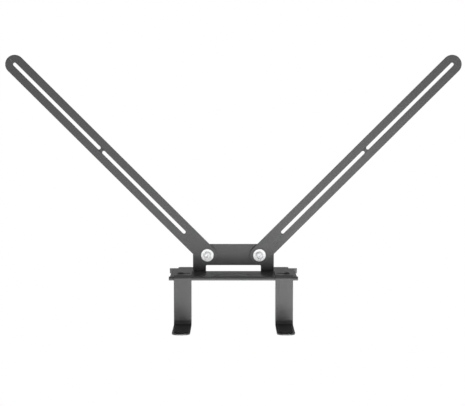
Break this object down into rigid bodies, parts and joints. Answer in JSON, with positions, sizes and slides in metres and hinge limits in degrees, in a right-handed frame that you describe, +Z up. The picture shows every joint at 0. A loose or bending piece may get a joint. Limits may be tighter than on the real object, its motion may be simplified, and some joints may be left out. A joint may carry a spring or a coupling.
{
  "type": "display-hung sound bar bracket",
  "caption": "Steel bracket with two swinging slotted arms for a display's back and two sliding legs that carry a sound bar or video bar.",
  "frame": {"origin": "halfway between the two arm pivots, in the plane of the arms' front faces that lie against the display", "axes": "+X to the right seen from the front, +Y to the back, +Z up"},
  "size_m": [0.8642, 0.2115, 0.5046],
  "materials": {
    "bracket_coat": "semi-gloss dark grey powder coat on bent steel sheet",
    "zinc": "bright zinc plate",
    "black_steel": "black zinc plate",
    "washer_nylon": "black nylon sheet",
    "insert_nylon": "white nylon",
    "pad_rubber": "matte die-cut rubber sheet"
  },
  "bodies": {
    "bracket": {"centre_bracket": "bracket_coat", "left_pivot_screw": "zinc", "left_pivot_washer": "zinc", "left_friction_washer": "washer_nylon", "left_rear_washer": "zinc", "left_lock_nut": "zinc", "left_nut_insert": "insert_nylon", "left_clamp_screw": "black_steel", "left_clamp_washer": "black_steel", "left_clamp_nut": "black_steel", "right_pivot_screw": "zinc", "right_pivot_washer": "zinc", "right_friction_washer": "washer_nylon", "right_rear_washer": "zinc", "right_lock_nut": "zinc", "right_nut_insert": "insert_nylon", "right_clamp_screw": "black_steel", "right_clamp_washer": "black_steel", "right_clamp_nut": "black_steel"},
    "left_arm": {"left_arm": "bracket_coat"},
    "right_arm": {"right_arm": "bracket_coat"},
    "left_leg": {"left_leg": "bracket_coat", "left_toe_pad": "pad_rubber"},
    "right_leg": {"right_leg": "bracket_coat", "right_toe_pad": "pad_rubber"}
  },
  "joints": [
    {"name": "left_arm_pivot", "type": "hinge", "parent": "bracket", "child": "left_arm", "pos_m": [-0.05, 0, 0], "axis": [0, 1, 0], "range_deg": [-45, 45]},
    {"name": "right_arm_pivot", "type": "hinge", "parent": "bracket", "child": "right_arm", "pos_m": [0.05, 0, 0], "axis": [0, -1, 0], "range_deg": [-45, 45]},
    {"name": "left_leg_slide", "type": "slide", "parent": "bracket", "child": "left_leg", "axis": [-1, 0, 0], "range_m": [0, 0.015]},
    {"name": "right_leg_slide", "type": "slide", "parent": "bracket", "child": "right_leg", "axis": [1, 0, 0], "range_m": [0, 0.015]}
  ]
}
